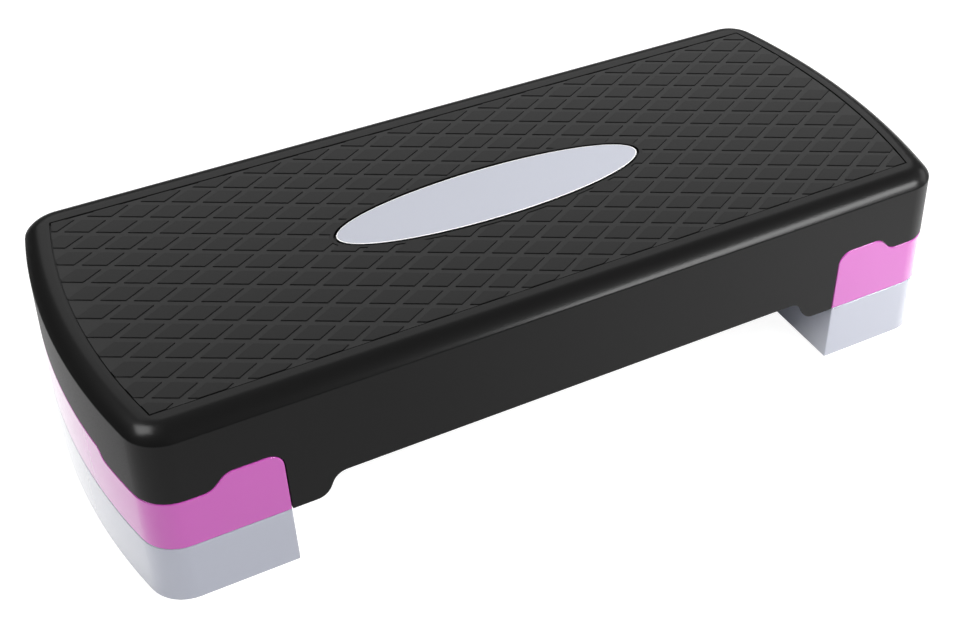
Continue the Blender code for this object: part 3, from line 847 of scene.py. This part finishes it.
def boreColumns(body, bottom, top):
    # pocket for each foot, bore above it, and the stem's hole between them
    pocket = foot["radius"] + plan["gap"]
    pocketTop = bottom + foot["thickness"] - foot["proud"] + plan["gap"]
    webTop = pocketTop + block["web"]
    carve(body, rounds("pockets", footCentres, pocket, bottom - plan["past"], pocketTop))
    carve(body, rounds("bores", footCentres, pocket, webTop, top + plan["past"]))
    carve(body, rounds("stemHoles", footCentres, foot["stem"] + plan["gap"], bottom,
                       webTop + plan["past"]))


def makeBlock():
    # the outside shows as a band with tabs; the core above it pushes up inside the deck
    nest = block["skirt"] + plan["nest"]
    bottom, top = plan["riserTop"], plan["blockTop"]
    body = loft("block", blockRing, [(bottom, 0, 0), (top, 0, 0)])
    # the cutter stands a hair off the flat face, so that no two faces lie in one plane
    corner = edges["tabTop"] - edges["tabCorner"] - block["hairDrop"]
    space = prism("skirtSpace",
                  lambda bm: drawTab(bm, block["hair"], corner, top + plan["past"]),
                  (0, 2 * plan["width"], 0))
    carve(space, endTabPrism(0))
    over = 2 * plan["past"]
    carve(space, loft("core", blockRing, [(bottom, nest, -over), (top + over, nest, -over)]))
    carve(body, space)
    roundEdges(body, block["edge"], block["edgeSteps"])
    # hollow in two stages: the band below, and the narrower core above it
    ledge = edges["lobe"] - block["wall"]
    faceIn = block["wall"] + plan["nest"]
    hollow = loft("blockHollow", blockRing, [
        (bottom - plan["past"], block["wall"], block["wall"]),
        (ledge, block["wall"], block["wall"]), (ledge, nest + block["wall"], faceIn),
        (top - block["wall"], nest + block["wall"], faceIn)])
    leaveRibs(hollow, bottom, top)
    carve(body, hollow)
    boreColumns(body, bottom, top)
    return body


def makeRiser():
    bottom, top = foot["proud"], plan["riserTop"] - plan["gap"]
    body = loft("riser", blockRing, [(bottom, 0, 0), (top, 0, 0)])
    roundEdges(body, block["edge"], block["edgeSteps"])
    # the spigot on top plugs into the block
    inset = block["wall"] + plan["nest"]
    inner = inset + riser["spigotWall"]
    spigotTop = plan["riserTop"] + riser["spigotHeight"]
    spigot = loft("spigot", blockRing, [(top - riser["spigotRoot"], inset, inset),
                                        (spigotTop, inset, inset)])
    carve(spigot, loft("spigotInside", blockRing, [(top - plan["past"], inner, inner),
                                                   (spigotTop + plan["past"], inner, inner)]))
    carve(body, spigot, "UNION")
    hollow = loft("riserHollow", blockRing,
                  [(bottom - plan["past"], block["wall"], block["wall"]),
                   (top - block["wall"], block["wall"], block["wall"])])
    leaveRibs(hollow, bottom, top)
    carve(body, hollow)
    boreColumns(body, bottom, top)
    return body


def makeFoot(x, y, ground):
    # half of its outline, from under the sole to the tip of the barb, spun round
    sole, thick, stem = foot["radius"], foot["thickness"], foot["stem"]
    neck = thick + block["web"] + 2 * plan["gap"]
    tip = neck + foot["barbHeight"]
    outline = list(foot["rings"])
    outline += [(sole - inset, z) for inset, z in foot["rim"]]
    outline += [(sole, thick - foot["topEdge"]), (sole - foot["topEdge"], thick),
                (stem, thick), (stem, neck), (foot["barb"], neck),
                (foot["barb"], neck + foot["barbEdge"]), (stem * foot["barbTip"], tip), (0, tip)]
    bm = bmesh.new()
    pen = Pen(bm, "front", (x, y, ground))
    for radius, z in outline:
        pen.to((x + radius, y, ground + z))
    bmesh.ops.spin(bm, geom=bm.verts[:] + bm.edges[:], cent=(x, y, 0), axis=(0, 0, 1),
                   angle=2 * math.pi, steps=foot["steps"], use_merge=True)
    bmesh.ops.remove_doubles(bm, verts=bm.verts, dist=foot["weld"])
    return asObject(bm, "foot")


body = finishTread(makeDeck())
settle(body, "deck", "root", blackPolypropylene)
print("deck done", len(body.data.polygons))
settle(makeBadge(), "badge_plate", "root", paleBadge)
print("badge done")

for kind, make, slot, material in (
        ("block", makeBlock, "pink_polypropylene", pinkPolypropylene),
        ("riser", makeRiser, "grey_polypropylene", greyPolypropylene)):
    right = make()
    left = leftCopy(right, "left")
    settle(right, "right_" + kind, f"right_{kind}_body", material)
    settle(left, "left_" + kind, f"left_{kind}_body", material)
    print(kind, "done", len(right.data.polygons))

for side in ("left", "right"):
    for kind in ("block", "riser"):
        for number in range(1, 5):
            node = f"{side}_{kind}_foot_{number}"
            low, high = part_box(node)
            made = makeFoot((low.x + high.x) / 2, (low.y + high.y) / 2, low.z)
            settle(made, node, f"{side}_{kind}_body", blackRubber)
print("feet done")


# studio: a white table in a dim room, softboxes, and strips that only shiny surfaces see

studio = {
    "table": "#a4a4a4",
    "tableHalf": 8,           # from its middle to its edge
    "tableRoughness": 0.9,
    "tableGlow": 0.92,        # added where it is seen, so that it reads white and keeps the shadow
    "tableShade": 0.05,       # width of the border of the painted shadow that shiny surfaces see on the table under the step
    "paintedLightPool": 0.85,        # painted pool of light to the right, seen by shiny surfaces
    "poolFrom": -0.1,         # where the painted pool begins and where it is full, along the length
    "poolTo": 0.35,
    "fill": 0.10,             # light from all round
    "room": 0.10,             # what shiny surfaces see beyond the table
    "roomLow": (-3.0, -1.4, 0.002),
    "roomHigh": (3.6, 3.4, 2.7),
    "tableLow": (-1.0, -0.85),    # part of the table that the room leaves open
    "tableHigh": (1.2, 0.95),
    "downward": -0.9,         # height of the normal of a face that counts as the room's floor
}


def seenRays(tree):
    # camera, mirror and glass rays
    rays = addNode(tree, "ShaderNodeLightPath").outputs
    either = addNode(tree, "ShaderNodeMath", {0: rays["Is Camera Ray"], 1: rays["Is Glossy Ray"]},
                     operation="MAXIMUM").outputs[0]
    return addNode(tree, "ShaderNodeMath", {0: either, 1: rays["Is Transmission Ray"]},
                   operation="MAXIMUM").outputs[0]


def makeTable():
    bm = bmesh.new()
    bmesh.ops.create_grid(bm, x_segments=1, y_segments=1, size=studio["tableHalf"])
    table = asObject(bm, "whiteTable")
    material, tree, shader = newMaterial("whiteTableTop")
    shader.inputs["Base Color"].default_value = hexColour(studio["table"])
    shader.inputs["Roughness"].default_value = studio["tableRoughness"]
    shader.inputs["Specular IOR Level"].default_value = 0.0
    shader.inputs["Emission Color"].default_value = (1, 1, 1, 1)
    place = addNode(tree, "ShaderNodeTexCoord").outputs["Object"]
    ends = addNode(tree, "ShaderNodeSeparateXYZ", {"Vector": place}).outputs
    mirror = addNode(tree, "ShaderNodeLightPath").outputs["Is Glossy Ray"]
    # painted shadow: shiny walls see the table as dark as it is right under the step: 0 there, 1
    # outside
    beyond = []
    for axis, reach in (("X", plan["length"] / 2), ("Y", plan["width"] / 2)):
        away = addNode(tree, "ShaderNodeMath", {0: ends[axis]}, operation="ABSOLUTE").outputs[0]
        beyond.append(addNode(tree, "ShaderNodeMath", {0: away, 1: reach},
                              operation="SUBTRACT").outputs[0])
    clear = addNode(tree, "ShaderNodeMath", {0: beyond[0], 1: beyond[1]},
                    operation="MAXIMUM").outputs[0]
    outside = addNode(tree, "ShaderNodeMapRange",
                      {"Value": clear, "From Min": -studio["tableShade"],
                       "From Max": 0.0}).outputs[0]
    under = addNode(tree, "ShaderNodeMath", {0: 1, 1: outside}, operation="SUBTRACT").outputs[0]
    dark = addNode(tree, "ShaderNodeMath", {0: mirror, 1: under}, operation="MULTIPLY").outputs[0]
    seen = addNode(tree, "ShaderNodeMath", {0: seenRays(tree), 1: dark},
                   operation="SUBTRACT").outputs[0]
    glow = addNode(tree, "ShaderNodeMath", {0: seen, 1: studio["tableGlow"]},
                   operation="MULTIPLY").outputs[0]
    # and a painted pool of light towards the right, where the table lies nearer to the key light,
    # seen by shiny surfaces
    near = addNode(tree, "ShaderNodeMapRange",
                   {"Value": ends["X"], "From Min": studio["poolFrom"],
                    "From Max": studio["poolTo"], "To Max": studio["paintedLightPool"]}).outputs[0]
    lit = addNode(tree, "ShaderNodeMath", {0: mirror, 1: outside}, operation="MULTIPLY").outputs[0]
    pool = addNode(tree, "ShaderNodeMath", {0: near, 1: lit}, operation="MULTIPLY").outputs[0]
    glow = addNode(tree, "ShaderNodeMath", {0: glow, 1: pool}, operation="ADD").outputs[0]
    tree.links.new(glow, shader.inputs["Emission Strength"])
    table.data.materials.append(material)


def makeRoom():
    # dim walls, ceiling and floor beyond the table, met only by mirror rays
    low, high = Vector(studio["roomLow"]), Vector(studio["roomHigh"])
    bm = bmesh.new()
    made = bmesh.ops.create_cube(bm, size=1)
    bmesh.ops.scale(bm, vec=high - low, verts=made["verts"])
    bmesh.ops.translate(bm, vec=(low + high) / 2, verts=made["verts"])
    for axis, normal in ((0, (1, 0, 0)), (1, (0, 1, 0))):
        for limit in (studio["tableLow"][axis], studio["tableHigh"][axis]):
            cut = [0, 0, 0]
            cut[axis] = limit
            bmesh.ops.bisect_plane(bm, geom=bm.verts[:] + bm.edges[:] + bm.faces[:],
                                   plane_co=cut, plane_no=normal)
    centre = (Vector(studio["tableLow"]) + Vector(studio["tableHigh"])) / 2
    hole = min((face for face in bm.faces if face.normal.z < studio["downward"]),
               key=lambda face: (face.calc_center_median().xy - centre).length)
    bmesh.ops.delete(bm, geom=[hole], context="FACES")
    room = asObject(bm, "dimRoom")
    material, tree, shader = newMaterial("dimRoomWall")
    shader.inputs["Base Color"].default_value = (0, 0, 0, 1)
    shader.inputs["Specular IOR Level"].default_value = 0.0
    shader.inputs["Emission Color"].default_value = (1, 1, 1, 1)
    shader.inputs["Emission Strength"].default_value = studio["room"]
    room.data.materials.append(material)
    room.visible_camera = room.visible_diffuse = False
    room.visible_shadow = room.visible_transmission = False


def makeWorld():
    world = bpy.data.worlds.new("whiteStudio")
    world.use_nodes = True
    bpy.context.scene.world = world
    tree = world.node_tree
    background = tree.nodes["Background"]
    # white where it is seen, and a plain fill for the rest
    strength = addNode(tree, "ShaderNodeMapRange",
                       {"Value": seenRays(tree), "To Min": studio["fill"],
                        "To Max": 1.0}).outputs[0]
    background.inputs["Color"].default_value = (1, 1, 1, 1)
    tree.links.new(strength, background.inputs["Strength"])


# a lamp that isn't glossy gives light without a reflection, one that isn't diffuse the reverse
lamps = {
    # even light on the tread and the front
    "frontOverhead": {"place": (0.2, -1.2, 2.0), "aim": (0, 0, 0), "size": (2.4, 1.6),
                      "watts": 20, "glossy": False},
    # sheen over the tread and the deck's rounded edge
    "backSoftbox": {"place": (1.0, 1.7, 1.45), "aim": (1.0, 0, 0.8), "size": (3.6, 1.5),
                    "watts": 32},
    # brighter right-hand end
    "frontRightKey": {"place": (0.80, -0.82, 0.88), "aim": (0.1, -0.14, 0.14), "size": (1.0, 0.5),
                      "watts": 17, "glossy": False},
    # pale streak along the front's shoulder
    "frontRightGlint": {"place": (0.80, -0.82, 0.92), "aim": (0.1, -0.14, 0.14),
                        "size": (0.85, 0.24), "watts": 21, "diffuse": False},
    # glint on the right-hand end
    "rightGlint": {"place": (1.75, -0.1, 0.6), "aim": (0.2, 0, 0.15), "size": (0.8, 0.5),
                   "watts": 4, "diffuse": False},
    # bright left-hand end
    "leftSoftbox": {"place": (-1.7, -0.45, 0.55), "aim": (-0.2, -0.1, 0.06), "size": (0.6, 0.8),
                    "watts": 12, "glossy": False},
    # glint on the corner at the front left
    "cornerGlint": {"place": (-1.29, 0.40, 2.05), "aim": (-0.31, -0.12, 0.147),
                    "size": (1.0, 1.0), "watts": 52, "diffuse": False},
}

# the photo's view
view = {
    "place": (-0.4376, -0.8486, 0.8133),
    "turn": (50.2799, -0.7711, -29.0625),
    "lens": 57.393,           # in millimetres, like the frame's width
    "frame": 36,
    "shiftX": -0.069225,
    "shiftY": 0.009589,
}


def addLamp(name, place, aim, size, watts, glossy=True, diffuse=True):
    lamp = bpy.data.lights.new(name, "AREA")
    lamp.shape = "RECTANGLE"
    lamp.size, lamp.size_y = size
    lamp.energy = watts
    thing = bpy.data.objects.new(name, lamp)
    thing.location = place
    thing.rotation_euler = (Vector(aim) - Vector(place)).to_track_quat("-Z", "Y").to_euler()
    thing.visible_glossy = glossy
    thing.visible_diffuse = diffuse
    bpy.context.scene.collection.objects.link(thing)


def addCamera():
    camera = bpy.data.cameras.new("photoCamera")
    camera.lens = view["lens"]
    camera.sensor_width = view["frame"]
    camera.shift_x = view["shiftX"]
    camera.shift_y = view["shiftY"]
    eye = bpy.data.objects.new("photoCamera", camera)
    eye.location = view["place"]
    eye.rotation_euler = [math.radians(angle) for angle in view["turn"]]
    bpy.context.scene.collection.objects.link(eye)
    bpy.context.scene.camera = eye


makeTable()
makeRoom()
makeWorld()
for name, lamp in lamps.items():
    addLamp(name, **lamp)
addCamera()
bpy.context.scene.view_settings.view_transform = "Standard"
print("studio done")
